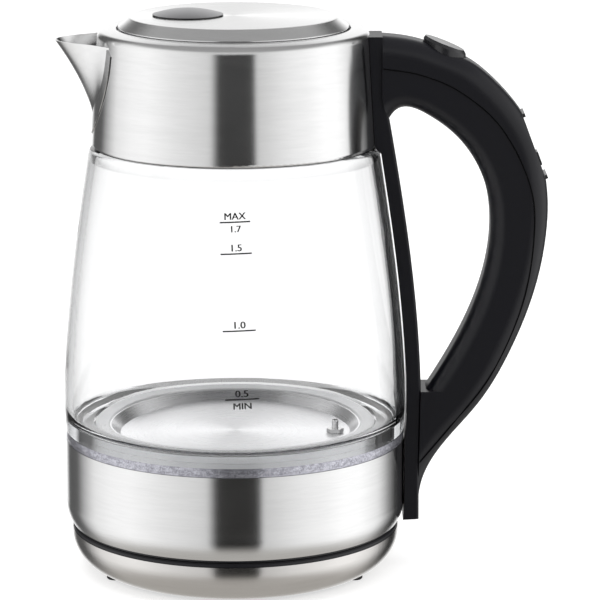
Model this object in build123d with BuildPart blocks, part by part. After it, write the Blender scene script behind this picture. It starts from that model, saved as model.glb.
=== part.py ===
"""Electric glass kettle: a jug that lifts off and turns on a powered base.

Millimetres, +Z up. The origin is on the jug's axis at table level, the handle points along +X
and the spout along -X.
"""

from build123d import *

import os
from math import cos, radians, sin, sqrt

# ---------------------------------------------------------------- driving dimensions
STEEL = 0.8  # wall of every pressed steel shell
GAP = 0.3  # clearance between pieces of different bodies

# power base
FOOT_R, FOOT_H, FOOT_PITCH_R = 3.6, 2.0, 61.0
FOOT_ANGLES = (90, 206.5, 333.5)
BASE_SCREW_ANGLES = (30, 150, 270)
BASE_SCREW_PITCH_R = 50.0
SKIRT_BOTTOM_R, SKIRT_MID, SKIRT_TOP = 64.5, (71.9, 8.0), (74.9, 19.3)
DECK_TOP_Z, DECK_T = 21.2, 2.4
GLAND_Z, CORD_BORE_R = 11.0, 3.4
TOWER_R, TOWER_TOP_Z = 15.5, 38.0
SLOT_IN_R, SLOT_OUT_R, SLOT_FLOOR_Z = 9.0, 11.6, 24.0
PIN_BORE_R = 3.0

# jug, lower end
JUG_BOTTOM_Z = 21.5
BAND_R, BAND_FOOT_R, BAND_BOTTOM_Z, BAND_TOP_Z = 77.5, 75.2, 22.7, 61.0
WELL_R = 18.2
UNDERSIDE_SCREW_PITCH_R = 60.0
GLASS_FOOT_Z, GLASS_FLOOR_Z = 65.2, 69.8
GLASS_T = 3.5
PLATE_Z, PLATE_R, PLATE_RIM_R, PLATE_RIM_Z = 62.9, 52.6, 56.6, 67.0
FLANGE_R = 63.9
PROBE_X, PROBE_Y, PROBE_TOP_Z = 45.8, -4.0, 69.6

# jug, upper end
GLASS_SHOULDER = (65.9, 191.4)
NECK_R, NECK_TOP_Z = 62.4, 206.0
COLLAR_BOTTOM_Z, COLLAR_BOTTOM_R = 195.6, 64.0
COLLAR_CONE_TOP = (61.2, 245.0)
RIM_Z, RIM_IN_R = 249.2, 52.4
SPOUT_TOP_Z, SPOUT_FOOT_Z = 243.6, 201.0

# lid and its hinge
LID_TOP_Z, LID_EDGE_Z = 254.2, 249.3
LID_FLAT_R, LID_R = 46.4, 51.7
PLUG_R, PLUG_BOTTOM_Z = 45.5, 243.5
DOME_X, DOME_R, DOME_H = -20.4, 15.6, 3.3
HINGE_X, HINGE_Z, HINGE_PIN_R = 56.0, 240.0, 1.5
ARM_IN_R, ARM_OUT_R = 10.4, 12.9

# handle
STRAP_HALF_W, GRIP_HALF_W, COVER_HALF_W = 10.5, 12.0, 12.3
HANDLE_WALL = 2.4
HANDLE_FOOT_Z = 33.8
INNER_ROUND, OUTER_ROUND = 7.0, 8.0  # roundings along the finger side and along the back
STRAP_ROUND = 1.0
HANDLE_SCREW_R = 1.4
HANDLE_SCREWS = ((67.3, 227.6, 8.0), (84.4, 68.0, 11.0))  # middle x, z and length
BUTTON_X, BUTTON_RX, BUTTON_RY, BUTTON_PROUD = 94.6, 9.5, 9.0, 3.2
SPRING_X, SPRING_FOOT_Z = 98.0, 227.2
CHORD_TOP, CHORD_END = (129.1, 211.2), (140.6, 180.6)
PANEL_HALF_W, PANEL_T = 8.2, 2.0
LIP_PROUD = 1.1
KEY_W, KEY_H, KEY_PROUD = 10.0, 6.4, 0.8

os.makedirs("parts", exist_ok=True)


def save(builder, name):
    """Label one finished piece and write its STEP file."""
    builder.part.label = name
    export_step(builder.part, f"parts/{name}.step")


def polygon(plane, *points):
    """A closed straight-sided face on a plane."""
    with BuildSketch(plane, mode=Mode.PRIVATE) as face:
        with BuildLine():
            Polyline(*points, close=True)
        make_face()
    return face.sketch


def turned(*points, mode=Mode.ADD):
    """Turn a closed (radius, height) outline around the jug's axis, inside a part block."""
    revolve(polygon(Plane.XZ, *points), axis=Axis.Z, mode=mode)


def cone_radius(z):
    """Outer radius of the collar's conical wall at a height."""
    share = (z - COLLAR_BOTTOM_Z - 2) / (COLLAR_CONE_TOP[1] - COLLAR_BOTTOM_Z - 2)
    return COLLAR_BOTTOM_R + share * (COLLAR_CONE_TOP[0] - COLLAR_BOTTOM_R)


# ================================================================ power base

with BuildPart() as base_skirt:
    with BuildSketch(Plane.XZ):
        with BuildLine():
            Polyline((63.0, FOOT_H), (SKIRT_BOTTOM_R, FOOT_H))
            ThreePointArc((SKIRT_BOTTOM_R, FOOT_H), SKIRT_MID, SKIRT_TOP)
            Line(SKIRT_TOP, (SKIRT_TOP[0] - STEEL, SKIRT_TOP[1]))
            ThreePointArc(
                (SKIRT_TOP[0] - STEEL, SKIRT_TOP[1]),
                (SKIRT_MID[0] - 0.66, SKIRT_MID[1] + 0.5),
                (SKIRT_BOTTOM_R - 0.1, FOOT_H + STEEL),
            )
            Polyline(
                (SKIRT_BOTTOM_R - 0.1, FOOT_H + STEEL), (63.0, FOOT_H + STEEL), (63.0, FOOT_H)
            )
        make_face()
    revolve(axis=Axis.Z)
    # round hole for the cord's gland, in the middle of the back
    with BuildSketch(Plane.XZ.offset(-60)):
        with Locations((0, GLAND_Z)):
            Circle(5.2)
    extrude(amount=-20, mode=Mode.SUBTRACT)
save(base_skirt, "base_skirt")

with BuildPart() as base_deck:
    turned(
        (TOWER_R + 0.5, DECK_TOP_Z - DECK_T),
        (73.6, DECK_TOP_Z - DECK_T),
        (73.6, 19.4),
        (74.7, 19.4),
        (74.7, 20.6),
        (74.1, DECK_TOP_Z),
        (TOWER_R + 0.5, DECK_TOP_Z),
    )
    # shallow round channel that lets spilt water run away from the connector
    with BuildSketch(Plane.XY.offset(DECK_TOP_Z - 0.8)):
        Circle(30)
        Circle(24, mode=Mode.SUBTRACT)
    extrude(amount=1, mode=Mode.SUBTRACT)
    # screw posts
    with BuildSketch(Plane.XY.offset(3.9)):
        for angle in BASE_SCREW_ANGLES:
            with PolarLocations(BASE_SCREW_PITCH_R, 1, start_angle=angle):
                Circle(3.6)
                Circle(1.25, mode=Mode.SUBTRACT)
    extrude(amount=DECK_TOP_Z - DECK_T - 3.9)
save(base_deck, "base_deck")

with BuildPart() as base_underside:
    turned((0, FOOT_H), (62.8, FOOT_H), (62.8, 2.95), (64.4, 2.95), (64.4, 3.8), (0, 3.8))
    for angle in BASE_SCREW_ANGLES:
        spot = Vector(BASE_SCREW_PITCH_R, 0).rotate(Axis.Z, angle)
        with Locations(Plane((spot.X, spot.Y, FOOT_H), z_dir=(0, 0, -1))):
            CounterSinkHole(radius=1.6, counter_sink_radius=2.9)
    # ring of drain slots
    with BuildSketch(Plane.XY):
        with PolarLocations(24, 8):
            SlotOverall(9, 2.2)
    extrude(amount=5, mode=Mode.SUBTRACT)
save(base_underside, "base_underside")

with BuildPart() as base_feet:
    with BuildSketch():
        for angle in FOOT_ANGLES:
            with PolarLocations(FOOT_PITCH_R, 1, start_angle=angle):
                Circle(FOOT_R)
    extrude(amount=FOOT_H)
    chamfer(base_feet.faces().sort_by(Axis.Z)[:3].edges(), 0.5)
save(base_feet, "base_feet")

with BuildPart() as base_screws:
    for angle in BASE_SCREW_ANGLES:
        spot = Vector(BASE_SCREW_PITCH_R, 0).rotate(Axis.Z, angle)
        with Locations((spot.X, spot.Y, 8.0)):
            Cylinder(1.2, 9.0)
        with Locations((spot.X, spot.Y, FOOT_H + 0.85)):
            Cone(2.7, 1.2, 1.3)
    # cross slots in the heads
    with BuildSketch(Plane.XY.offset(FOOT_H)):
        for angle in BASE_SCREW_ANGLES:
            with PolarLocations(BASE_SCREW_PITCH_R, 1, start_angle=angle):
                Rectangle(3.2, 0.6)
                Rectangle(0.6, 3.2)
    extrude(amount=0.9, mode=Mode.SUBTRACT)
save(base_screws, "base_screws")

with BuildPart() as cord_gland:
    with BuildSketch(Plane.XZ.offset(-66)):
        with Locations((0, GLAND_Z)):
            Circle(5.0)
    extrude(amount=-11.2)
    with BuildSketch(Plane.XZ.offset(-75.1)):
        with Locations((0, GLAND_Z)):
            Circle(6.2)
    extrude(amount=-2.1)
    chamfer(cord_gland.faces().sort_by(Axis.Y)[-1].edges(), 0.5)
    with BuildSketch(Plane.XZ.offset(-65)):
        with Locations((0, GLAND_Z)):
            Circle(CORD_BORE_R)
    extrude(amount=-15, mode=Mode.SUBTRACT)
save(cord_gland, "cord_gland")

with BuildPart() as base_connector:
    with BuildSketch(Plane.XY.offset(DECK_TOP_Z - DECK_T - 2.4)):
        Circle(24)
    extrude(amount=2.4)
    with BuildSketch(Plane.XY.offset(DECK_TOP_Z - DECK_T)):
        Circle(TOWER_R)
    extrude(amount=TOWER_TOP_Z - DECK_TOP_Z + DECK_T)
    chamfer(base_connector.faces().sort_by(Axis.Z)[-1].edges(), 0.8)
    # ring slot and central well that the jug's socket reaches into
    with BuildSketch(Plane.XY.offset(SLOT_FLOOR_Z)):
        Circle(SLOT_OUT_R)
        Circle(SLOT_IN_R, mode=Mode.SUBTRACT)
        Circle(PIN_BORE_R)
    extrude(amount=20, mode=Mode.SUBTRACT)
save(base_connector, "base_connector")

with BuildPart() as base_contacts:
    with BuildSketch(Plane.XY.offset(SLOT_FLOOR_Z)):
        Circle(SLOT_IN_R + 0.5)
        Circle(SLOT_IN_R, mode=Mode.SUBTRACT)
        Circle(1.3)
    extrude(amount=TOWER_TOP_Z - SLOT_FLOOR_Z - 2)
    fillet(base_contacts.edges().group_by(Axis.Z)[-1].sort_by(SortBy.RADIUS)[0], 0.6)
save(base_contacts, "base_contacts")

# ================================================================ jug socket (turning joint)

with BuildPart() as jug_connector:
    turned(
        (0, 44.6),
        (0, 40.4),
        (1.7, 40.4),
        (1.7, 27.0),
        (2.6, 27.0),
        (2.6, 39.0),
        (9.9, 39.0),
        (9.9, 27.0),
        (11.2, 27.0),
        (11.2, 39.0),
        (TOWER_R + 0.4, 39.0),
        (TOWER_R + 0.4, 22.0),
        (WELL_R - GAP, 22.0),
        (WELL_R - GAP, 44.6),
    )
save(jug_connector, "jug_connector")

# ================================================================ jug, lower end

with BuildPart() as lower_band:
    with BuildSketch(Plane.XZ):
        with BuildLine():
            Polyline((74.4, BAND_BOTTOM_Z), (BAND_FOOT_R, BAND_BOTTOM_Z))
            ThreePointArc((BAND_FOOT_R, BAND_BOTTOM_Z), (77.0, 27.0), (BAND_R, 33.0))
            Polyline(
                (BAND_R, 33.0), (BAND_R, BAND_TOP_Z), (BAND_R - STEEL, BAND_TOP_Z), (BAND_R - STEEL, 33.0)
            )
            ThreePointArc((BAND_R - STEEL, 33.0), (76.2, 27.2), (BAND_FOOT_R - 0.2, BAND_BOTTOM_Z + STEEL))
            Polyline(
                (BAND_FOOT_R - 0.2, BAND_BOTTOM_Z + STEEL),
                (74.4, BAND_BOTTOM_Z + STEEL),
                (74.4, BAND_BOTTOM_Z),
            )
        make_face()
    revolve(axis=Axis.Z)
save(lower_band, "lower_band")

with BuildPart() as jug_underside:
    turned(
        (WELL_R, JUG_BOTTOM_Z + 2),
        (70.0, JUG_BOTTOM_Z + 2),
        (70.0, JUG_BOTTOM_Z),
        (74.0, JUG_BOTTOM_Z),
        (74.0, BAND_BOTTOM_Z + STEEL + 0.1),
        (74.8, BAND_BOTTOM_Z + STEEL + 0.1),
        (74.8, JUG_BOTTOM_Z + 4.2),
        (WELL_R + 2, JUG_BOTTOM_Z + 4.2),
        (WELL_R + 2, 46.6),
        (0, 46.6),
        (0, 45.0),
        (WELL_R, 45.0),
    )
    # screw posts that reach up to the clamp ring
    with BuildSketch(Plane.XY.offset(JUG_BOTTOM_Z + 4.2)):
        for angle in BASE_SCREW_ANGLES:
            with PolarLocations(UNDERSIDE_SCREW_PITCH_R, 1, start_angle=angle):
                Circle(3.6)
    extrude(amount=61.6 - JUG_BOTTOM_Z - 4.2)
    for angle in BASE_SCREW_ANGLES:
        spot = Vector(UNDERSIDE_SCREW_PITCH_R, 0).rotate(Axis.Z, angle)
        with Locations(Plane((spot.X, spot.Y, JUG_BOTTOM_Z + 2), z_dir=(0, 0, -1))):
            CounterSinkHole(radius=1.6, counter_sink_radius=2.9, depth=38.2)
save(jug_underside, "jug_underside")

with BuildPart() as underside_screws:
    for angle in BASE_SCREW_ANGLES:
        spot = Vector(UNDERSIDE_SCREW_PITCH_R, 0).rotate(Axis.Z, angle)
        with Locations((spot.X, spot.Y, JUG_BOTTOM_Z + 2.1 + 18)):
            Cylinder(1.5, 36.0)
        with Locations((spot.X, spot.Y, JUG_BOTTOM_Z + 2.85)):
            Cone(2.7, 1.5, 1.3)
    with BuildSketch(Plane.XY.offset(JUG_BOTTOM_Z + 2)):
        for angle in BASE_SCREW_ANGLES:
            with PolarLocations(UNDERSIDE_SCREW_PITCH_R, 1, start_angle=angle):
                Rectangle(3.2, 0.6)
                Rectangle(0.6, 3.2)
    extrude(amount=0.9, mode=Mode.SUBTRACT)
save(underside_screws, "underside_screws")

with BuildPart() as clamp_ring:
    turned((57.6, 62.2), (75.9, 62.2), (75.9, 61.6), (57.6, 61.6))
    turned((59.2, 62.2), (71.8, 62.2), (71.8, 65.1), (59.2, 65.1))
save(clamp_ring, "clamp_ring")

with BuildPart() as jar_seal_ring:
    turned(
        (72.0, 62.3),
        (76.4, 62.3),
        (76.4, BAND_TOP_Z + 0.1),
        (77.2, BAND_TOP_Z + 0.1),
        (77.4, 63.0),
        (77.2, GLASS_FOOT_Z - 0.05),
        (72.0, GLASS_FOOT_Z - 0.05),
    )
save(jar_seal_ring, "jar_seal_ring")

with BuildPart() as glass_jar:
    with BuildSketch(Plane.XZ):
        with BuildLine():
            Spline(
                (77.3, GLASS_FOOT_Z),
                (77.9, 76.0),
                (76.9, 103.0),
                (72.9, 143.0),
                GLASS_SHOULDER,
            )
            Spline(GLASS_SHOULDER, (64.9, 194.3), (NECK_R, 195.4), tangents=[(-0.2, 1), (-1, 0.1)])
            Polyline(
                (NECK_R, 195.4), (NECK_R, NECK_TOP_Z), (NECK_R - 3.2, NECK_TOP_Z), (NECK_R - 3.2, 197.0)
            )
            Spline((NECK_R - 3.2, 197.0), (60.6, 193.6), (62.4, 189.6), tangents=[(0.2, -1), (0.3, -1)])
            Spline(
                (62.4, 189.6),
                (69.4, 142.6),
                (73.3, 103.0),
                (74.3, 78.0),
                (73.4, GLASS_FLOOR_Z + 2.2),
                (70.0, GLASS_FLOOR_Z),
            )
            Polyline(
                (70.0, GLASS_FLOOR_Z),
                (FLANGE_R + 1, GLASS_FLOOR_Z - 0.8),
                (FLANGE_R + 0.1, GLASS_FLOOR_Z - 1.6),
                (FLANGE_R + 0.1, GLASS_FOOT_Z),
                (77.3, GLASS_FOOT_Z),
            )
        make_face()
    revolve(axis=Axis.Z)
save(glass_jar, "glass_jar")

with BuildPart() as plate_gasket:
    turned(
        (59.3, 65.2),
        (FLANGE_R, 65.2),
        (FLANGE_R, 68.3),
        (62.4, 68.5),
        (58.2, 67.6),
        (57.4, 67.1),
        (59.3, 67.1),
    )
save(plate_gasket, "plate_gasket")

with BuildPart() as heating_plate:
    with BuildSketch(Plane.XZ):
        with BuildLine():
            Polyline(
                (0, PLATE_Z + 0.5),
                (20, PLATE_Z + 0.3),
                (PLATE_R, PLATE_Z),
                (PLATE_RIM_R, PLATE_RIM_Z),
                (59.1, PLATE_RIM_Z),
                (59.1, PLATE_RIM_Z - STEEL),
                (57.0, PLATE_RIM_Z - STEEL),
                (PLATE_R + 0.5, PLATE_Z - STEEL),
                (0, PLATE_Z - STEEL),
                close=True,
            )
        make_face()
    revolve(axis=Axis.Z)
    with Locations((PROBE_X, PROBE_Y, PLATE_Z)):
        Hole(radius=2.7)
save(heating_plate, "heating_plate")

with BuildPart() as heat_diffuser:
    with BuildSketch(Plane.XY.offset(58.1)):
        Circle(42)
    extrude(amount=PLATE_Z - STEEL - 58.1)
    fillet(heat_diffuser.edges().group_by(Axis.Z)[0], 1.0)
save(heat_diffuser, "heat_diffuser")

with BuildPart() as heating_element:
    # sheathed element: most of a circle under the diffuser, with two upright-ended tails
    with BuildSketch(Plane.XZ):
        with Locations((33, 55.6)):
            RectangleRounded(7, 4.9, 1.8)
    revolve(axis=Axis.Z, revolution_arc=310)
    for angle in (5, -55):
        spot = Vector(33, 0).rotate(Axis.Z, -angle)
        with Locations((spot.X, spot.Y, 50.4)):
            Cylinder(1.1, 8.0)
save(heating_element, "heating_element")

with BuildPart() as temperature_probe:
    with BuildSketch(Plane.XY.offset(PLATE_Z + 0.2)):
        with Locations((PROBE_X, PROBE_Y)):
            RegularPolygon(3.9, 6)
    extrude(amount=1.9)
    with Locations((PROBE_X, PROBE_Y, PLATE_Z + 1.95)):
        Cylinder(1.5, PROBE_TOP_Z - PLATE_Z - 1.95, align=(Align.CENTER, Align.CENTER, Align.MIN))
        Cylinder(2.5, 14.0, align=(Align.CENTER, Align.CENTER, Align.MAX))
    fillet(temperature_probe.faces().sort_by(Axis.Z)[-1].edges(), 1.2)
save(temperature_probe, "temperature_probe")

with BuildPart() as dry_boil_control:
    with BuildSketch(Plane.XY.offset(47.0)):
        Circle(13)
        Rectangle(40, 11)
    extrude(amount=4.5)
    with BuildSketch(Plane.XY.offset(51.5)):
        with Locations((-13, 0), (13, 0)):
            Circle(5.2)
    extrude(amount=6.5)
save(dry_boil_control, "dry_boil_control")

# ================================================================ jug, upper end

with BuildPart() as collar:
    with BuildSketch(Plane.XZ):
        with BuildLine():
            Line((NECK_R + 0.2, COLLAR_BOTTOM_Z), (62.9, COLLAR_BOTTOM_Z))
            ThreePointArc((62.9, COLLAR_BOTTOM_Z), (63.75, 196.3), (COLLAR_BOTTOM_R, COLLAR_BOTTOM_Z + 2))
            Line((COLLAR_BOTTOM_R, COLLAR_BOTTOM_Z + 2), COLLAR_CONE_TOP)
            ThreePointArc(COLLAR_CONE_TOP, (60.3, 247.2), (58.4, 248.3))
            ThreePointArc((58.4, 248.3), (55.6, 249.0), (53.2, RIM_Z))
            ThreePointArc((53.2, RIM_Z), (52.6, 248.9), (RIM_IN_R, 248.4))
            Polyline((RIM_IN_R, 248.4), (RIM_IN_R, 247.7), (53.1, 247.7), (53.3, 248.4))
            ThreePointArc((53.3, 248.4), (55.6, 248.2), (58.1, 247.5))
            ThreePointArc((58.1, 247.5), (59.7, 246.6), (COLLAR_CONE_TOP[0] - STEEL, COLLAR_CONE_TOP[1]))
            Polyline(
                (COLLAR_CONE_TOP[0] - STEEL, COLLAR_CONE_TOP[1]),
                (COLLAR_BOTTOM_R - STEEL, COLLAR_BOTTOM_Z + 2),
                (NECK_R + 0.2, COLLAR_BOTTOM_Z + STEEL),
                (NECK_R + 0.2, COLLAR_BOTTOM_Z),
            )
        make_face()
    revolve(axis=Axis.Z)
    # window behind the spout
    with BuildSketch(Plane.YZ.offset(-75)):
        with BuildLine():
            Polyline((-22, 240), (22, 240), (19, 222), (9, 208), (-9, 208), (-19, 222), close=True)
        make_face()
    extrude(amount=30, mode=Mode.SUBTRACT)
    # slot for the latch, hidden by the handle
    with Locations((60.6, 0, 239)):
        Box(6, 9.2, 10, mode=Mode.SUBTRACT)
save(collar, "collar")


SPOUT_FLOW_Z = 208.0  # where the spout starts to stand out from the collar
SPOUT_LEVELS = (209.5, 214.0, 220.0, 228.0, 236.0, SPOUT_TOP_Z)
FLANGE_OUTLINE = [(31.0, 240.0), (29.6, 230.0), (25.2, 218.6), (15.4, 206.9), (0, SPOUT_FOOT_Z)]


def spout_section(z, inset):
    """The spout's outline in plan at one height: a rounded nose between two hollow flanks."""
    share = (z - SPOUT_FLOW_Z) / (SPOUT_TOP_Z - SPOUT_FLOW_Z)
    stand_out = 19.0 * share**1.45
    wall_r = cone_radius(z)
    nose_x = -wall_r - stand_out + inset
    half_w = 28.5 * sqrt(1 - ((SPOUT_TOP_Z - z) / 43) ** 2) - inset
    wall_x = -sqrt(wall_r**2 - half_w**2)
    flank = [
        (wall_x + 9, half_w + 7 * share + 2),
        (wall_x, half_w),
        (wall_x + (nose_x - wall_x) * 0.32, half_w * 0.72),
        (wall_x + (nose_x - wall_x) * 0.82, half_w * 0.36),
    ]
    with BuildSketch(Plane.XY.offset(z), mode=Mode.PRIVATE) as section:
        with BuildLine():
            Spline(*flank, (nose_x, 0), *[(x, -y) for x, y in reversed(flank)])
            Line((flank[0][0], -flank[0][1]), flank[0])
        make_face()
    return section.sketch


with BuildPart() as spout:
    # flange let into the collar's wall round the spout
    turned(
        (cone_radius(200) - 1, 200),
        (cone_radius(200) + 0.45, 200),
        (cone_radius(242.6) + 0.45, 242.6),
        (cone_radius(242.6) - 1, 242.6),
    )
    with BuildSketch(Plane.YZ):
        with BuildLine():
            Spline(*FLANGE_OUTLINE, *[(-y, z) for y, z in reversed(FLANGE_OUTLINE[:-1])])
            Polyline(
                (-FLANGE_OUTLINE[0][0], FLANGE_OUTLINE[0][1]),
                (-FLANGE_OUTLINE[0][0] + 2.6, 242.6),
                (FLANGE_OUTLINE[0][0] - 2.6, 242.6),
                FLANGE_OUTLINE[0],
            )
        make_face()
    extrude(amount=-90, mode=Mode.INTERSECT)
    loft([spout_section(z, 0) for z in SPOUT_LEVELS])
    # the channel inside ends in a ledge, above the foot of the bulge
    loft([spout_section(z, STEEL) for z in SPOUT_LEVELS[2:]], mode=Mode.SUBTRACT)
    # everything inside the collar's outer surface is cut away
    turned((0, 195), (cone_radius(195), 195), (cone_radius(250), 250), (0, 250), mode=Mode.SUBTRACT)
save(spout, "spout")


with BuildPart() as collar_seal:
    turned((59.4, NECK_TOP_Z), (62.3, NECK_TOP_Z), (62.3, NECK_TOP_Z + 1.4), (59.4, NECK_TOP_Z + 1.4))
save(collar_seal, "collar_seal")

with BuildPart() as neck_ring:
    turned(
        (59.6, NECK_TOP_Z + 1.4),
        (cone_radius(NECK_TOP_Z + 1.4) - 1, NECK_TOP_Z + 1.4),
        (59.9, 243.5),
        (58.6, 246.6),
        (51.8, 247.1),
        (50.4, 247.1),
        (50.4, 240.5),
        (51.8, 240.5),
        (51.8, 244.9),
        (57.2, 244.6),
        (57.9, 243.0),
    )
    # pouring window in front of the spout
    with BuildSketch(Plane.YZ.offset(-75)):
        with BuildLine():
            Polyline((-21, 238.5), (21, 238.5), (18, 222), (8, 209), (-8, 209), (-18, 222), close=True)
        make_face()
    extrude(amount=30, mode=Mode.SUBTRACT)
    # pocket for the hinge
    with Locations((51, 0, 240.6)):
        Box(20, 17.2, 15.7, mode=Mode.SUBTRACT)
save(neck_ring, "neck_ring")

with BuildPart() as hinge_bracket:
    # two ears joined by a back plate, let into the pocket of the neck ring
    with BuildSketch(Plane.XZ):
        with BuildLine():
            Polyline(
                (52.6, 240), (54, 246.2), (58.2, 245.6), (59.2, 243), (59.8, 234.0), (54.4, 234.0), close=True
            )
        make_face()
    extrude(amount=8.4, both=True)
    with Locations((57, 0, 240.5)):
        Box(14, 11.2, 20, mode=Mode.SUBTRACT)
    with Locations((HINGE_X, 0, HINGE_Z)):
        Cylinder(HINGE_PIN_R, 20, rotation=(90, 0, 0), mode=Mode.SUBTRACT)
    with BuildSketch(Plane.XY.offset(232.9)):
        with Locations((57.1, 0)):
            Rectangle(5.4, 16.8)
    extrude(amount=1.3)
save(hinge_bracket, "hinge_bracket")

with BuildPart() as hinge_pin:
    with Locations((HINGE_X, 0, HINGE_Z)):
        Cylinder(HINGE_PIN_R, 16.4, rotation=(90, 0, 0))
    chamfer(hinge_pin.edges().filter_by(GeomType.CIRCLE), 0.3)
save(hinge_pin, "hinge_pin")

with BuildPart() as lid_spring:
    # torsion spring round the pin, on both sides of the lid's arm
    for side in (-1, 1):
        with BuildLine() as coil:
            Helix(0.75, 1.5, 2.3, center=(HINGE_X, side * 3.65, HINGE_Z), direction=(0, side, 0))
        with BuildSketch(Plane(coil.line @ 0, z_dir=coil.line % 0)):
            Circle(0.3)
        sweep()
save(lid_spring, "lid_spring")

with BuildPart() as spout_filter:
    # frame and crossed bars of the scale filter in the pouring window
    frame = polygon(
        Plane.YZ.offset(-58), (-20, 237.5), (20, 237.5), (17, 222.4), (7.4, 210), (-7.4, 210), (-17, 222.4)
    )
    extrude(frame, amount=1.6)
    hole = polygon(
        Plane.YZ.offset(-59),
        (-18, 235.9), (18, 235.9), (15.6, 223), (6.7, 211.6), (-6.7, 211.6), (-15.6, 223),
    )
    extrude(hole, amount=4, mode=Mode.SUBTRACT)
    with BuildSketch(Plane.YZ.offset(-57.6)):
        with Locations((0, 223.5)):
            with GridLocations(3.6, 1, 9, 1):
                Rectangle(0.7, 30)
            with GridLocations(1, 3.6, 1, 8):
                Rectangle(44, 0.7)
    bars = extrude(amount=0.8, mode=Mode.PRIVATE)
    add(bars & extrude(frame, amount=1.6, mode=Mode.PRIVATE))
save(spout_filter, "spout_filter")

# ================================================================ handle
# Outlines in the middle plane: (x, z)

STRAP_BACK = [(69.8, 208.6), (76.3, 170.2), (80.2, 142.4), (83.1, 114.5), (84.7, 86.3)]
SEAM = [
    (66.5, 231.8), (83.6, 229.0), (101.6, 221.2), (119.8, 205.2), (132.8, 179.6), (135.2, 156.0),
    (130.4, 124.0), (116.7, 91.4), (98.6, 67.4), (84.1, 49.8),
]
OUTER = [
    (56.0, 246.2), (66.5, 245.8), (75.5, 244.9), (83.5, 243.2), (94.6, 239.2), (105.4, 234.5),
    (115.0, 227.2), (123.2, 218.8), CHORD_TOP, (136.6, 197.2), CHORD_END, (141.6, 170.0),
    (141.3, 158.6), (137.1, 133.2), (125.7, 101.9), (111.3, 76.9), (89.1, 48.4), (86.0, 41.3),
    (84.4, 33.8), (84.0, 26.0),
]
INNER = [
    (69.8, 208.6), (75.4, 213.6), (88.2, 209.5), (101.8, 198.6), (112.9, 179.4), (115.7, 160.0),
    (111.6, 133.1), (104.5, 114.4), (87.2, 83.6),
]


def strap_face():
    """Side view of the strap: it follows the collar, the glass and the band."""
    with BuildSketch(Plane.XZ, mode=Mode.PRIVATE) as face:
        with BuildLine():
            Polyline((66.5, 245.8), (60.0, 245.8), (60.0, 216), (62.6, 196), (66.1, 193.2))
            Spline((66.1, 193.2), (73.4, 143.2), (77.4, 103.0), (78.4, 76.0), (77.6, 60))
            Polyline((77.6, 60), (77.6, 31), (77.0, 22.8), (84.2, 23.2), (84.1, 49.8), (84.7, 86.3))
            Spline(*reversed(STRAP_BACK))
            Polyline((69.8, 208.6), (67.6, 213.0), (66.5, 218.0), (66.5, 245.8))
        make_face()
    return face.sketch


def outer_face():
    """Side view of all that lies within the handle's outer line."""
    with BuildSketch(Plane.XZ, mode=Mode.PRIVATE) as face:
        with BuildLine():
            Spline(*OUTER)
            Polyline(OUTER[-1], (OUTER[0][0], OUTER[-1][1]), OUTER[0])
        make_face()
    return face.sketch


def cover_side():
    """Side view of everything outside the seam."""
    with BuildSketch(Plane.XZ, mode=Mode.PRIVATE) as face:
        with BuildLine():
            Spline(*SEAM)
            Polyline(SEAM[-1], (84.2, HANDLE_FOOT_Z), (150, HANDLE_FOOT_Z), (150, 250))
            Polyline((150, 250), (SEAM[0][0], 250), SEAM[0])
        make_face()
    return face.sketch


def grip_face():
    """Side view of the grip, between the finger opening and the seam."""
    with BuildSketch(Plane.XZ, mode=Mode.PRIVATE) as face:
        with BuildLine():
            Spline(*SEAM)
            Polyline(SEAM[-1], (84.7, 83.6), INNER[-1])
            Spline(*reversed(INNER))
            Polyline(INNER[0], (67.6, 213.0), (66.5, 218.0), SEAM[0])
        make_face()
    return face.sketch


def side_edges(builder, half_width):
    """Curved edges round the two flat sides of a piece of the handle."""
    curved = builder.edges().filter_by(GeomType.BSPLINE)
    return curved.filter_by(lambda edge: abs(abs(edge.center().Y) - half_width) < 0.01)


def inside_face():
    """Side view of the hollow shared by the grip and the cover."""
    with BuildSketch(Plane.XZ, mode=Mode.PRIVATE) as face:
        with BuildLine():
            Spline((69.2, 243.0), (83.0, 240.6), (104.2, 232.2), (121.4, 217.0), (126.4, 210.4))
            Polyline((126.4, 210.4), (137.4, 180.4))
            Spline(
                (137.4, 180.4), (138.6, 158.8), (134.6, 134.0), (123.4, 103.2), (109.2, 78.6), (92.6, 56.6)
            )
            Line((92.6, 56.6), (92.2, 86.6))
            Spline(
                (92.2, 86.6), (106.8, 113.4), (114.0, 132.4), (118.2, 160.2), (115.2, 180.2),
                (103.8, 200.4), (89.4, 211.8), (74.0, 216.2), (69.2, 219.6),
            )
            Line((69.2, 219.6), (69.2, 243.0))
        make_face()
    return face.sketch


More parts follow.
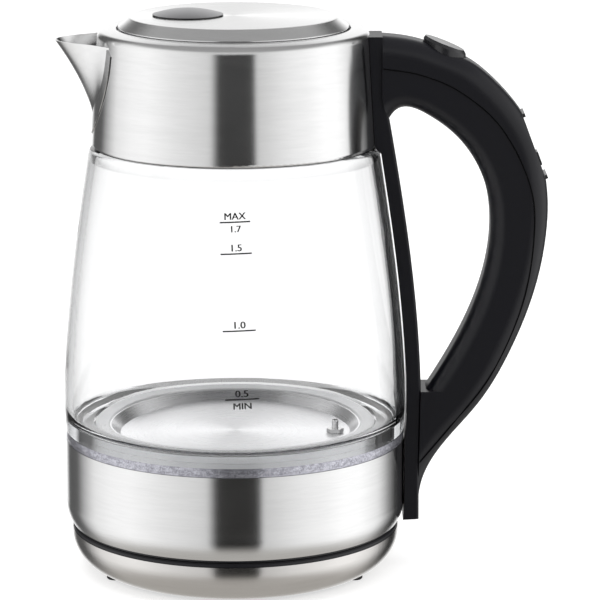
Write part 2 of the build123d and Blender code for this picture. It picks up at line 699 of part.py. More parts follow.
with BuildPart() as handle_strap:
    extrude(strap_face(), amount=STRAP_HALF_W, both=True)
    # round the edges next to the finger opening
    fillet(side_edges(handle_strap, STRAP_HALF_W).filter_by(lambda edge: edge.center().X > 77), STRAP_ROUND)
    # cut back to the collar, the glass and the band
    turned(
        (0, 0),
        (BAND_FOOT_R + 0.6, 0),
        (BAND_FOOT_R + 0.6, 24),
        (BAND_R, 33),
        (BAND_R, BAND_TOP_Z),
        (78.3, 64),
        (78.3, 80),
        (77.3, 103),
        (73.4, 143),
        (66.0, 193.4),
        (COLLAR_BOTTOM_R + 0.1, 196.6),
        (COLLAR_BOTTOM_R + 0.1, 198),
        (COLLAR_CONE_TOP[0] + 0.1, COLLAR_CONE_TOP[1]),
        (COLLAR_CONE_TOP[0] - 0.7, 247.5),
        (58, 249),
        (0, 249),
        mode=Mode.SUBTRACT,
    )
    # passage for the latch, and holes for the screws
    with Locations((63, 0, 238.4)):
        Box(12, 7.6, 7.4, mode=Mode.SUBTRACT)
    for x, z, length in HANDLE_SCREWS:
        with Locations((x, 0, z)):
            Cylinder(HANDLE_SCREW_R, length, rotation=(0, 90, 0), mode=Mode.SUBTRACT)
save(handle_strap, "handle_strap")

def housing_z(x):
    """Height of the handle's sloping top where the button sits."""
    (x0, z0), (x1, z1) = OUTER[3], OUTER[5]
    return z0 + (z1 - z0) * (x - x0) / (x1 - x0)


panel_mid = Vector((CHORD_TOP[0] + CHORD_END[0]) / 2, 0, (CHORD_TOP[1] + CHORD_END[1]) / 2)
panel_normal = Vector(CHORD_TOP[1] - CHORD_END[1], 0, CHORD_END[0] - CHORD_TOP[0]).normalized()
PANEL_LENGTH = sqrt((CHORD_TOP[0] - CHORD_END[0]) ** 2 + (CHORD_TOP[1] - CHORD_END[1]) ** 2) - 0.8
# local X runs across the handle and local Y up the panel
panel_plane = Plane(panel_mid, x_dir=(0, 1, 0), z_dir=panel_normal)
KEY_Y, WINDOW_Y = -6.6, 5.6

with BuildPart() as grip_block:
    extrude(outer_face(), amount=GRIP_HALF_W, both=True)
    fillet(side_edges(grip_block, GRIP_HALF_W), OUTER_ROUND)

with BuildPart() as handle_grip:
    extrude(grip_face(), amount=GRIP_HALF_W, both=True)
    # round the two edges that the fingers close on, which are shorter than those along the seam
    fillet(side_edges(handle_grip, GRIP_HALF_W).sort_by(SortBy.LENGTH)[:2], INNER_ROUND)
    add(grip_block.part, mode=Mode.INTERSECT)
    extrude(inside_face(), amount=GRIP_HALF_W - HANDLE_WALL - 1.6, both=True, mode=Mode.SUBTRACT)
    for x, z, length in HANDLE_SCREWS:
        with Locations((x, 0, z)):
            Cylinder(HANDLE_SCREW_R, length, rotation=(0, 90, 0), mode=Mode.SUBTRACT)
save(handle_grip, "handle_grip")

with BuildPart() as handle_cover:
    extrude(outer_face(), amount=COVER_HALF_W, both=True)
    fillet(side_edges(handle_cover, COVER_HALF_W), OUTER_ROUND)
    extrude(cover_side(), amount=COVER_HALF_W, both=True, mode=Mode.INTERSECT)
    # flat for the control panel
    with BuildSketch(panel_plane):
        Rectangle(2 * COVER_HALF_W, PANEL_LENGTH + 0.8)
    extrude(amount=8, mode=Mode.SUBTRACT)
    extrude(inside_face(), amount=COVER_HALF_W - HANDLE_WALL - 1.6, both=True, mode=Mode.SUBTRACT)
    # way through for the latch
    with Locations((68, 0, 238.2)):
        Box(5, 7.6, 5.4, mode=Mode.SUBTRACT)
    # well for the lid button
    with BuildSketch(Plane.XY.offset(225)):
        with Locations((BUTTON_X, 0)):
            Ellipse(BUTTON_RX + GAP, BUTTON_RY + GAP)
    extrude(amount=30, mode=Mode.SUBTRACT)
    # seat for the control panel, with an opening behind it
    with BuildSketch(panel_plane.offset(-PANEL_T)):
        RectangleRounded(2 * PANEL_HALF_W, PANEL_LENGTH, 1.5)
    extrude(amount=PANEL_T + 3, mode=Mode.SUBTRACT)
    with BuildSketch(panel_plane.offset(-8)):
        Rectangle(2 * PANEL_HALF_W - 3, PANEL_LENGTH - 4)
    extrude(amount=8, mode=Mode.SUBTRACT)
save(handle_cover, "handle_cover")

with BuildPart() as handle_screws:
    # driven through the strap from the jug's side into the grip
    for x, z, length in HANDLE_SCREWS:
        with Locations((x, 0, z)):
            Cylinder(HANDLE_SCREW_R, length, rotation=(0, 90, 0))
save(handle_screws, "handle_screws")

with BuildPart() as lid_button:
    with BuildSketch(Plane.XY.offset(230)):
        with Locations((BUTTON_X, 0)):
            Ellipse(BUTTON_RX, BUTTON_RY)
    extrude(amount=20)
    top = [(x, housing_z(x) + BUTTON_PROUD) for x in (80, 110)]
    extrude(polygon(Plane.XZ, *top, (110, 260), (80, 260)), amount=15, both=True, mode=Mode.SUBTRACT)
    low = [(x, housing_z(x) - 3.2) for x in (80, 110)]
    extrude(polygon(Plane.XZ, *low, (110, 210), (80, 210)), amount=15, both=True, mode=Mode.SUBTRACT)
    chamfer(lid_button.faces().sort_by(Axis.Z)[-1].edges(), 1.4, 0.9)
    # stem with a 45 degree end that drives the latch back
    stem = polygon(Plane.XZ, (86.6, 229.4), (90.6, 233.4), (90.6, 238.5), (86.6, 239.5))
    extrude(stem, amount=2.6, both=True)
    # peg that centres the spring
    with Locations((SPRING_X, 0, 231)):
        Cylinder(1.7, 5, align=(Align.CENTER, Align.CENTER, Align.MIN))
save(lid_button, "lid_button")

with BuildPart() as latch_slider:
    slider = polygon(
        Plane.XZ,
        (61.9, 237.0),
        (61.9, 239.3),
        (79.5, 239.3),
        (79.5, 225.9),
        (83.4, 225.9),
        (89.5, 232.0),
        (91.3, 232.0),
        (91.3, 223.8),
        (77.3, 223.8),
        (77.3, 237.0),
    )
    extrude(slider, amount=2.8, both=True)
    fillet(latch_slider.edges().filter_by(Axis.Y).group_by(Axis.X)[0], 0.5)
save(latch_slider, "latch_slider")

with BuildPart() as latch_housing:
    # tray under the slider, two cheeks beside it with a bridge behind the return spring, and
    # a seat for the button's spring
    with Locations((86.4, 0, 222.35)):
        Box(33, 15.4, 2.3)
    with Locations((77.2, 4.2, 229.5), (77.2, -4.2, 229.5)):
        Box(14.6, 2.2, 12.2)
    with Locations((85.1, 0, 229.5)):
        Box(1.3, 10.6, 12.2)
    # way through the bridge for the slider's foot
    with Locations((85.1, 0, 228.1)):
        Box(2, 6.2, 9.2, mode=Mode.SUBTRACT)
    with Locations((SPRING_X, 0, 223.5)):
        Cylinder(3.2, SPRING_FOOT_Z - 223.5, align=(Align.CENTER, Align.CENTER, Align.MIN))
save(latch_housing, "latch_housing")

with BuildPart() as button_spring:
    # open coil between its seat and the button
    with BuildLine() as coil:
        Helix(1.5, 4.5, 2.6, center=(SPRING_X, 0, SPRING_FOOT_Z + 0.3))
    with BuildSketch(Plane(coil.line @ 0, z_dir=coil.line % 0)):
        Circle(0.25)
    sweep()
save(button_spring, "button_spring")

with BuildPart() as latch_spring:
    # compression coil that pushes the slider back towards the lid
    with BuildLine() as coil:
        Helix(1.0, 4.3, 1.2, center=(79.85, 0, 234.6), direction=(1, 0, 0))
    with BuildSketch(Plane(coil.line @ 0, z_dir=coil.line % 0)):
        Circle(0.22)
    sweep()
save(latch_spring, "latch_spring")

with BuildPart() as panel_bezel:
    with BuildSketch(panel_plane.offset(-PANEL_T)):
        RectangleRounded(2 * PANEL_HALF_W - 0.1, PANEL_LENGTH - 0.1, 1.45)
    extrude(amount=PANEL_T)
    fillet(panel_bezel.faces().sort_by(Axis(panel_mid, panel_normal))[-1].edges(), 0.5)
    # raised lips along the top and bottom ends
    with BuildSketch(panel_plane.offset(-1)):
        with Locations((0, PANEL_LENGTH / 2 - 1), (0, 1 - PANEL_LENGTH / 2)):
            RectangleRounded(2 * PANEL_HALF_W - 1, 1.8, 0.8)
    extrude(amount=1 + LIP_PROUD)
    with BuildSketch(panel_plane.offset(-5)):
        with Locations((0, KEY_Y)):
            RectangleRounded(KEY_W + 0.4, KEY_H + 0.4, 1.7)
    extrude(amount=10, mode=Mode.SUBTRACT)
    with BuildSketch(panel_plane.offset(-0.8)):
        with Locations((0, WINDOW_Y)):
            RectangleRounded(13, 12, 1)
    extrude(amount=2, mode=Mode.SUBTRACT)
save(panel_bezel, "panel_bezel")

with BuildPart() as display_window:
    with BuildSketch(panel_plane.offset(-0.8)):
        with Locations((0, WINDOW_Y)):
            RectangleRounded(12.9, 11.9, 0.95)
    extrude(amount=0.75)
save(display_window, "display_window")

with BuildPart() as power_key:
    with BuildSketch(panel_plane.offset(-1.6)):
        with Locations((0, KEY_Y)):
            RectangleRounded(KEY_W, KEY_H, 1.5)
    extrude(amount=1.6 + KEY_PROUD)
    fillet(power_key.faces().sort_by(Axis(panel_mid, panel_normal))[-1].edges(), 0.5)
save(power_key, "power_key")

with BuildPart() as control_board:
    with BuildSketch(panel_plane.offset(-6.0)):
        Rectangle(14, PANEL_LENGTH - 6)
    extrude(amount=1.6)
    # push switch below the key, and the display's module
    with BuildSketch(panel_plane.offset(-4.4)):
        with Locations((0, KEY_Y)):
            Rectangle(5, 5)
    extrude(amount=1.9)
    with BuildSketch(panel_plane.offset(-4.4)):
        with Locations((0, WINDOW_Y)):
            Rectangle(12, 11)
    extrude(amount=2.3)
save(control_board, "control_board")

# ================================================================ lid

with BuildPart() as lid_cap:
    with BuildSketch(Plane.XZ):
        with BuildLine():
            Line((0, LID_TOP_Z), (LID_FLAT_R - 0.8, LID_TOP_Z))
            ThreePointArc((LID_FLAT_R - 0.8, LID_TOP_Z), (LID_FLAT_R, 254.05), (LID_FLAT_R + 0.6, 253.6))
            ThreePointArc((LID_FLAT_R + 0.6, 253.6), (49.6, 251.5), (LID_R, LID_EDGE_Z + 0.5))
            Polyline((LID_R, LID_EDGE_Z + 0.5), (LID_R, LID_EDGE_Z), (LID_R - STEEL, LID_EDGE_Z))
            Line((LID_R - STEEL, LID_EDGE_Z), (LID_R - STEEL, LID_EDGE_Z + 0.3))
            ThreePointArc((LID_R - STEEL, LID_EDGE_Z + 0.3), (49.0, 250.9), (LID_FLAT_R, 253.0))
            Polyline(
                (LID_FLAT_R, 253.0), (LID_FLAT_R - 0.6, LID_TOP_Z - STEEL), (0, LID_TOP_Z - STEEL), (0, LID_TOP_Z)
            )
        make_face()
    revolve(axis=Axis.Z)
    # steam outlet under the dome
    with Locations((DOME_X, 0, LID_TOP_Z)):
        Hole(radius=5, depth=2)
save(lid_cap, "lid_cap")

with BuildPart() as dome_ring:
    with BuildSketch(Plane.XY.offset(LID_TOP_Z)):
        with Locations((DOME_X, 0)):
            Circle(DOME_R + 0.3)
            Circle(DOME_R - 2.4, mode=Mode.SUBTRACT)
    extrude(amount=0.6)
save(dome_ring, "dome_ring")

with BuildPart() as lid_dome:
    dome_plane = Plane((DOME_X, 0, LID_TOP_Z), x_dir=(1, 0, 0), z_dir=(0, -1, 0))
    with BuildSketch(dome_plane):
        with BuildLine():
            ThreePointArc((0, DOME_H), (DOME_R * 0.55, DOME_H * 0.72), (DOME_R, 0.65))
            Polyline((DOME_R, 0.65), (DOME_R - 1.2, 0.62), (0, 0.62), (0, DOME_H))
        make_face()
    revolve(axis=Axis((DOME_X, 0, LID_TOP_Z), (0, 0, 1)))
save(lid_dome, "lid_dome")

with BuildPart() as lid_inner:
    turned(
        (0, PLUG_BOTTOM_Z),
        (PLUG_R - 1, PLUG_BOTTOM_Z),
        (PLUG_R, PLUG_BOTTOM_Z + 1),
        (PLUG_R, LID_EDGE_Z + 0.1),
        (50.2, LID_EDGE_Z + 0.1),
        (49.4, 250.2),
        (47.6, 251.4),
        (43.7, 251.4),
        (43.7, PLUG_BOTTOM_Z + 1.8),
        (0, PLUG_BOTTOM_Z + 1.8),
    )
    # bosses up to the cap
    with BuildSketch(Plane.XY.offset(PLUG_BOTTOM_Z + 1.8)):
        with PolarLocations(32, 3, start_angle=60):
            Circle(3.4)
    extrude(amount=LID_TOP_Z - STEEL - PLUG_BOTTOM_Z - 1.8)
    # steam holes towards the dome, and screw holes
    with BuildSketch(Plane.XY.offset(PLUG_BOTTOM_Z - 1)):
        with Locations((DOME_X, 0)):
            with PolarLocations(6, 6):
                Circle(1.8)
        with PolarLocations(32, 3, start_angle=60):
            Circle(1.25)
    extrude(amount=9, mode=Mode.SUBTRACT)
    # opening for the hinge arm
    with Locations((48, 0, 246)):
        Box(12.4, 9.0, 14, mode=Mode.SUBTRACT)
save(lid_inner, "lid_inner")

with BuildPart() as lid_screws:
    for angle in (60, 180, 300):
        spot = Vector(32, 0).rotate(Axis.Z, angle)
        with Locations((spot.X, spot.Y, PLUG_BOTTOM_Z - 1.2)):
            Cylinder(2.5, 1.2, align=(Align.CENTER, Align.CENTER, Align.MIN))
            Cylinder(1.2, 8.8, align=(Align.CENTER, Align.CENTER, Align.MIN))
save(lid_screws, "lid_screws")

with BuildPart() as lid_seal:
    turned(
        (PLUG_R, 246.6),
        (PLUG_R, 248.6),
        (47.6, 248.9),
        (49.6, 248.5),
        (49.6, 248.0),
        (47.6, 247.6),
        (47.2, 246.6),
    )
    with Locations((48, 0, 246)):
        Box(12.4, 9.4, 14, mode=Mode.SUBTRACT)
save(lid_seal, "lid_seal")

with BuildPart() as lid_hinge_arm:
    # gooseneck that reaches round the rim of the neck, from the lid to the hinge pin
    with BuildSketch(Plane.XZ):
        with Locations((HINGE_X, HINGE_Z)):
            Circle(ARM_OUT_R)
            Circle(ARM_IN_R, mode=Mode.SUBTRACT)
        sector = [
            (HINGE_X + 20 * cos(radians(a)), HINGE_Z + 20 * sin(radians(a))) for a in (126, 150, 175, 204)
        ]
        with BuildLine():
            Polyline((HINGE_X, HINGE_Z), *sector, close=True)
        make_face(mode=Mode.INTERSECT)
        with BuildLine():
            spoke = [
                (HINGE_X + r * cos(radians(a)), HINGE_Z + r * sin(radians(a)))
                for r, a in ((2.0, 120), (11.5, 197), (12.6, 204), (10.6, 208), (2.0, 270))
            ]
            Polyline(*spoke, close=True)
        make_face()
        with Locations((HINGE_X, HINGE_Z)):
            Circle(3.3)
            Circle(HINGE_PIN_R + 0.05, mode=Mode.SUBTRACT)
        # catch that the latch holds down
        with BuildLine():
            Polyline(
                (HINGE_X + 2.6, HINGE_Z - 0.5),
                (HINGE_X + 5.4, HINGE_Z - 0.5),
                (HINGE_X + 5.4, HINGE_Z + 1.2),
                (HINGE_X + 2.6, HINGE_Z + 2.0),
                close=True,
            )
        make_face()
    extrude(amount=3.2, both=True)
    # foot under the cap
    foot = polygon(
        Plane.XZ,
        (41.5, 253.3), (45.2, 253.3), (48.2, 250.9), (50.0, 248.9), (48.8, 247.4), (46.2, 249.8), (41.5, 250.8),
    )
    extrude(foot, amount=3.2, both=True)
save(lid_hinge_arm, "lid_hinge_arm")
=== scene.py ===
"""Looks of an electric glass kettle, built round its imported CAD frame.

Metres, +Z up, the origin on the jug's axis at table level, the handle along +X and the spout along -X.
"""

from math import cos, pi, radians, sin, sqrt

import bpy
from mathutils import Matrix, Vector


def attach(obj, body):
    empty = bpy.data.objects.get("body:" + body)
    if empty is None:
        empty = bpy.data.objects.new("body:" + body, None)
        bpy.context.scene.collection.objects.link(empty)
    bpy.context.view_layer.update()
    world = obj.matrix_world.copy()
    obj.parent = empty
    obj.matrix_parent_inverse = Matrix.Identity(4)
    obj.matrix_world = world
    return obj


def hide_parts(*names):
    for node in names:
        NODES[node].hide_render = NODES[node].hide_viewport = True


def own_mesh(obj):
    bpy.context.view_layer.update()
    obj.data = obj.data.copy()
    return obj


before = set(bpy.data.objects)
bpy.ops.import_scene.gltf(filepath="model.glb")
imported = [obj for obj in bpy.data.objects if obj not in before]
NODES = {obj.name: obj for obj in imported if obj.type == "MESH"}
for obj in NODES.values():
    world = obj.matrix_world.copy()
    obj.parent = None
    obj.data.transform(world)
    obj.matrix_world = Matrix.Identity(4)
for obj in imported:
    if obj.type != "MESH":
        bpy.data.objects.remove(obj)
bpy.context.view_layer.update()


# ================================================================ node graphs


class Graph:
    """One node tree, with short calls for making and joining its nodes."""

    def __init__(self, tree):
        self.tree = tree
        tree.nodes.clear()

    def node(self, kind, settings=None, **inputs):
        """Make a node. settings are its properties, inputs its sockets: a value, or a socket to join."""
        made = self.tree.nodes.new(kind)
        for name, value in (settings or {}).items():
            setattr(made, name, value)
        for name, value in inputs.items():
            self.feed(made, name.replace("_", " "), value)
        return made

    def feed(self, node, name, value):
        """Set or join one input, found by its name or, as i0 and so on, by its number."""
        numbered = name[0] == "i" and name[1:].isdigit()
        socket = node.inputs[int(name[1:]) if numbered else name]
        if isinstance(value, bpy.types.NodeSocket):
            self.tree.links.new(value, socket)
        else:
            socket.default_value = value

    def math(self, operation, *values):
        made = self.node("ShaderNodeMath", {"operation": operation})
        for socket, value in enumerate(values):
            self.feed(made, f"i{socket}", value)
        return made.outputs[0]

    def between(self, share, low, high):
        """share from 0 to 1 mapped to low to high."""
        return self.node("ShaderNodeMapRange", Value=share, To_Min=low, To_Max=high).outputs[0]

    def step(self, value, low, high):
        """0 below low, 1 above high, and smooth between them."""
        kind = {"interpolation_type": "SMOOTHSTEP"}
        return self.node("ShaderNodeMapRange", kind, Value=value, From_Min=low, From_Max=high).outputs[0]

    def mix(self, share, a, b):
        """Colour a where share is 0, and b where it is 1."""
        made = self.node("ShaderNodeMix", {"data_type": "RGBA"})
        for socket, value in (("i0", share), ("i6", a), ("i7", b)):
            self.feed(made, socket, value)
        return made.outputs[2]

    def noise(self, vector, scale, detail=2.0, roughness=0.5):
        made = self.node("ShaderNodeTexNoise", Vector=vector, Scale=scale, Detail=detail, Roughness=roughness)
        return made.outputs["Fac"]

    def bump(self, height, distance, strength):
        made = self.node("ShaderNodeBump", Height=height, Distance=distance, Strength=strength)
        return made.outputs["Normal"]

    def place(self):
        """The point on the object, in metres."""
        return self.node("ShaderNodeTexCoord").outputs["Object"]

    def turned(self, along, across):
        """(angle, height, radius) about the jug's axis, for marks left by turning and brushing.

        along stretches the angle, and across the other two.
        """
        x, y, z = self.node("ShaderNodeSeparateXYZ", Vector=self.place()).outputs
        angle = self.math("ARCTAN2", y, x)
        radius = self.math("SQRT", self.math("ADD", self.math("POWER", x, 2.0), self.math("POWER", y, 2.0)))
        made = self.node("ShaderNodeCombineXYZ", X=self.math("MULTIPLY", angle, along))
        self.feed(made, "Y", self.math("MULTIPLY", z, across))
        self.feed(made, "Z", self.math("MULTIPLY", radius, across))
        return made.outputs[0]

    def round_the_axis(self):
        """The direction round the jug's axis, along which its steel is brushed."""
        return self.node("ShaderNodeTangent", {"direction_type": "RADIAL", "axis": "Z"}).outputs[0]


def grey(value, blue=0.0):
    return (value, value, value + blue, 1.0)


def surface(name, **inputs):
    """A material with one Principled shader. Returns the material, its graph and the shader."""
    made = bpy.data.materials.new(name)
    made.use_nodes = True
    graph = Graph(made.node_tree)
    shader = graph.node("ShaderNodeBsdfPrincipled", **inputs)
    out = graph.node("ShaderNodeOutputMaterial")
    graph.tree.links.new(shader.outputs[0], out.inputs["Surface"])
    return made, graph, shader


# ================================================================ materials


BRUSHED = {"Metallic": 1.0, "Anisotropic": 0.85, "Anisotropic_Rotation": 0.25}


def brushed_steel(name, tone=0.8, warm=0.0, roughness=0.2):
    """Stainless steel brushed round its axis, with fine lines and a sheen stretched across them."""
    made, g, steel = surface(name, **BRUSHED)
    lines = g.noise(g.turned(along=9.0, across=2600.0), 1.0, 4.0, 0.7)
    streaks = g.noise(g.turned(along=2.5, across=420.0), 1.0, 2.0)
    smudges = g.noise(g.place(), 45.0, 3.0)
    mixed = g.math("ADD", g.math("MULTIPLY", lines, 0.55), g.math("MULTIPLY", streaks, 0.45))
    dark = (tone * 0.97, tone * (0.97 - warm * 0.5), tone * (0.97 - warm), 1.0)
    light = (tone * 1.03, tone * (1.03 - warm * 0.5), tone * (1.03 - warm), 1.0)
    g.feed(steel, "Base Color", g.mix(g.step(mixed, 0.32, 0.68), dark, light))
    spread = g.math("ADD", g.between(mixed, -0.02, 0.02), g.between(smudges, -0.015, 0.015))
    g.feed(steel, "Roughness", g.math("ADD", spread, roughness))
    g.feed(steel, "Normal", g.bump(lines, 0.00002, 0.15))
    g.feed(steel, "Tangent", g.round_the_axis())
    return made


def plate_steel():
    """Heating plate: turned on a lathe, so its shine fans out from the middle."""
    made, g, steel = surface("plate_steel", **BRUSHED)
    rings = g.noise(g.turned(along=0.8, across=3000.0), 1.0, 3.0, 0.65)
    stain = g.noise(g.place(), 60.0, 3.0)
    g.feed(steel, "Base Color", g.mix(g.step(rings, 0.3, 0.7), grey(0.88, 0.01), grey(0.96, 0.015)))
    g.feed(steel, "Roughness", g.math("ADD", g.between(rings, 0.2, 0.3), g.between(stain, 0.0, 0.06)))
    g.feed(steel, "Normal", g.bump(rings, 0.00002, 0.5))
    g.feed(steel, "Tangent", g.round_the_axis())
    return made


def plain_metal(name, colour, roughness, grain=900.0):
    """A bright or matt metal with a fine even grain."""
    made, g, metal = surface(name, Metallic=1.0)
    fine = g.noise(g.place(), grain, 3.0)
    cloud = g.noise(g.place(), grain / 12, 2.0)
    darker = tuple(c * 0.86 for c in colour[:3]) + (1.0,)
    g.feed(metal, "Base Color", g.mix(cloud, darker, colour))
    g.feed(metal, "Roughness", g.math("ADD", g.between(fine, -0.05, 0.05), roughness))
    g.feed(metal, "Normal", g.bump(fine, 0.00002, 0.5))
    return made


def moulded_plastic(name, tone, roughness, grain=2600.0, depth=0.00003, shine=0.5, worn=0.3, mirror=0.0):
    """Moulded plastic or silicone with a fine spark-eroded grain, polished a little where hands reach.

    worn is how much the polish shows, and mirror how much of the light is thrown back as by metal.
    """
    made, g, plastic = surface(name, Specular_IOR_Level=shine, Metallic=mirror)
    fine = g.noise(g.place(), grain, 2.0, 0.6)
    patches = g.noise(g.place(), 30.0, 3.0)
    dark = tuple(c * 0.8 for c in tone)
    light = tuple(min(c * 1.25, 1.0) for c in tone)
    g.feed(plastic, "Base Color", g.mix(patches, (*dark, 1.0), (*light, 1.0)))
    rub = g.math("MULTIPLY", g.step(patches, 0.35, 0.75), -0.08 * worn)
    g.feed(plastic, "Roughness", g.math("ADD", g.math("ADD", g.between(fine, -0.04, 0.04), roughness), rub))
    g.feed(plastic, "Normal", g.bump(fine, depth, 0.35))
    return made


def soft_rubber():
    made, g, rubber = surface("rubber_feet", Specular_IOR_Level=0.3)
    fine = g.noise(g.place(), 1800.0, 3.0)
    g.feed(rubber, "Base Color", g.mix(fine, grey(0.012), grey(0.03)))
    g.feed(rubber, "Roughness", g.between(fine, 0.6, 0.8))
    g.feed(rubber, "Normal", g.bump(fine, 0.00005, 0.4))
    return made


def clear_glass():
    """Colourless borosilicate glass, faintly blue-grey where it is thick, with slow waves from blowing."""
    made, g, glass = surface("clear_glass", Transmission_Weight=1.0, IOR=1.34, Base_Color=grey(1.0))
    waves = g.noise(g.place(), 16.0, 1.0)
    g.feed(glass, "Roughness", g.between(waves, 0.0, 0.01))
    g.feed(glass, "Normal", g.bump(waves, 0.0004, 0.25))
    body = g.node("ShaderNodeVolumeAbsorption", Color=(0.86, 0.9, 0.95, 1.0), Density=9.0)
    out = next(n for n in g.tree.nodes if n.type == "OUTPUT_MATERIAL")
    g.tree.links.new(body.outputs[0], out.inputs["Volume"])
    return made


def textured_silicone():
    """Clear sealing ring before the band's bright inside: mottled, milky grey, and it mirrors the room."""
    made, g, ring = surface("textured_silicone", Metallic=0.75)
    grains = g.noise(g.turned(along=220.0, across=1700.0), 1.0, 3.0, 0.6)
    bands = g.noise(g.turned(along=30.0, across=900.0), 1.0, 2.0)
    both = g.math("ADD", g.math("MULTIPLY", grains, 0.6), g.math("MULTIPLY", bands, 0.4))
    g.feed(ring, "Base Color", g.mix(g.step(both, 0.36, 0.64), grey(0.27, 0.04), grey(0.6, 0.06)))
    g.feed(ring, "Roughness", g.between(grains, 0.12, 0.24))
    g.feed(ring, "Normal", g.bump(both, 0.0003, 0.22))
    return made


def circuit_board():
    made, g, board = surface("circuit_board")
    tracks = g.node("ShaderNodeTexBrick", Vector=g.place(), Scale=900.0, Mortar_Size=0.02)
    g.feed(tracks, "Color1", (0.01, 0.09, 0.04, 1.0))
    g.feed(tracks, "Color2", (0.015, 0.12, 0.05, 1.0))
    g.feed(tracks, "Mortar", (0.03, 0.2, 0.09, 1.0))
    g.feed(board, "Base Color", tracks.outputs["Color"])
    g.feed(board, "Roughness", g.between(g.noise(g.place(), 700.0), 0.3, 0.5))
    return made


def printed_ink():
    """Screen-printed black ink, slightly uneven."""
    made, g, ink = surface("printed_ink", Specular_IOR_Level=0.3)
    cover = g.noise(g.place(), 2200.0, 2.0)
    g.feed(ink, "Base Color", g.mix(cover, grey(0.004), grey(0.012)))
    g.feed(ink, "Roughness", g.between(cover, 0.45, 0.65))
    return made


FINISHES = {
    brushed_steel("brushed_steel"): ("collar", "lower_band", "spout"),
    brushed_steel("base_steel", tone=0.7, warm=0.05): ("base_skirt",),
    brushed_steel("lid_steel", tone=0.86, roughness=0.24): ("lid_cap",),
    plate_steel(): ("heating_plate",),
    plain_metal("dome_steel", (0.3, 0.3, 0.31, 1.0), 0.32): ("lid_dome",),
    plain_metal("polished_steel", (0.72, 0.72, 0.72, 1.0), 0.12): (
        "hinge_pin", "temperature_probe", "spout_filter",
    ),
    plain_metal("screw_steel", (0.5, 0.5, 0.51, 1.0), 0.25): (
        "base_screws", "underside_screws", "handle_screws", "lid_screws",
    ),
    plain_metal("spring_steel", (0.6, 0.6, 0.58, 1.0), 0.18): ("button_spring", "latch_spring", "lid_spring"),
    plain_metal("cast_aluminium", (0.7, 0.7, 0.71, 1.0), 0.4, 500.0): ("heat_diffuser",),
    plain_metal("element_sheath", (0.4, 0.4, 0.4, 1.0), 0.45, 700.0): ("heating_element",),
    plain_metal("contact_brass", (0.72, 0.53, 0.22, 1.0), 0.22): ("base_contacts",),
    moulded_plastic("satin_black_plastic", (0.006, 0.006, 0.0085), 0.38, shine=0.38): (
        "handle_strap", "handle_grip", "handle_cover", "base_deck", "base_underside", "jug_underside",
    ),
    moulded_plastic("neck_plastic", (0.5, 0.5, 0.51), 0.4): ("neck_ring", "lid_inner"),
    moulded_plastic("connector_plastic", (0.05, 0.05, 0.055), 0.5): (
        "base_connector", "jug_connector", "dry_boil_control",
    ),
    moulded_plastic("mechanism_plastic", (0.09, 0.09, 0.1), 0.45): (
        "hinge_bracket", "lid_hinge_arm", "latch_slider", "latch_housing",
    ),
    moulded_plastic("button_plastic", (0.016, 0.016, 0.018), 0.3, depth=0.00001, worn=1.0): (
        "lid_button", "power_key", "panel_bezel",
    ),
    moulded_plastic("gloss_black", (0.005, 0.005, 0.006), 0.1, depth=0.000005): (
        "display_window", "dome_ring",
    ),
    soft_rubber(): ("base_feet", "cord_gland"),
    clear_glass(): ("glass_jar",),
    textured_silicone(): ("jar_seal_ring",),
    moulded_plastic("silicone_seal", (0.6, 0.6, 0.64), 0.5, 1200.0): ("collar_seal", "lid_seal"),
    moulded_plastic("pale_silicone", (0.94, 0.95, 0.98), 0.3, 1200.0, mirror=0.4): ("plate_gasket",),
    moulded_plastic("pale_plastic", (0.94, 0.94, 0.96), 0.3, mirror=0.4): ("clamp_ring",),
    circuit_board(): ("control_board",),
}
for finish, names in FINISHES.items():
    for name in names:
        for slot in NODES[name].material_slots:
            slot.material = finish
unpainted = set(NODES) - {name for names in FINISHES.values() for name in names}
assert not unpainted, unpainted


# ================================================================ springs, as copies of the CAD's coils

# (node, joint, axis along the coil, whether the end that stays put is its low one)
PRESSED = (
    ("button_spring", "lid_button_press", Vector((0, 0, 1)), True),
    ("latch_spring", "latch_release", Vector((1, 0, 0)), False),
)


def pressed_spring(node, joint, axis, low_end_fixed):
    """A copy of the CAD's coil, put in place of the rigid one and riding on the jug."""
    coil = bpy.data.objects.new(f"{node}_coil", NODES[node].data.copy())
    bpy.context.scene.collection.objects.link(coil)
    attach(coil, "jug")
    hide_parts(node)
    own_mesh(coil)


for spring in PRESSED:
    pressed_spring(*spring)


# ================================================================ level marks printed on the glass

MARK_X, MARK_Z = 0.0031, 0.1345  # middle of the print, on the front of the glass
MARK_TILT = radians(2.0)
LINE_LENGTH, LINE_STROKE, LINE_STEPS = 0.0142, 0.00062, 12
CAP_ABOVE, CAP_BELOW = 0.0031, 0.0029  # height of the capitals above and below a line
FOOT_ABOVE, FOOT_BELOW = 0.0011, -0.0043  # foot of the words, from their line
CAP_SHARE = 0.73  # the font's capitals are this share of its size
INK_SPREAD = 0.00011  # each word is struck twice, this far to either side
WORD_WIDTH = 1.12  # the letters are this much wider than the font has them
INK_STAND_OUT = 0.00012
GLASS_R = 0.074  # radius at mid height, by which the print is wrapped
OUTSIDE = 0.2  # a distance from the axis that is clear of the whole jug
# height of each line above the table, in metres, and the words above and below it
LEVELS = (
    ("max", 0.1735, "MAX", "1.7"),
    ("high", 0.1599, "1.5", None),
    ("middle", 0.1266, "1.0", None),
    ("low", 0.0966, "0.5", "MIN"),
)


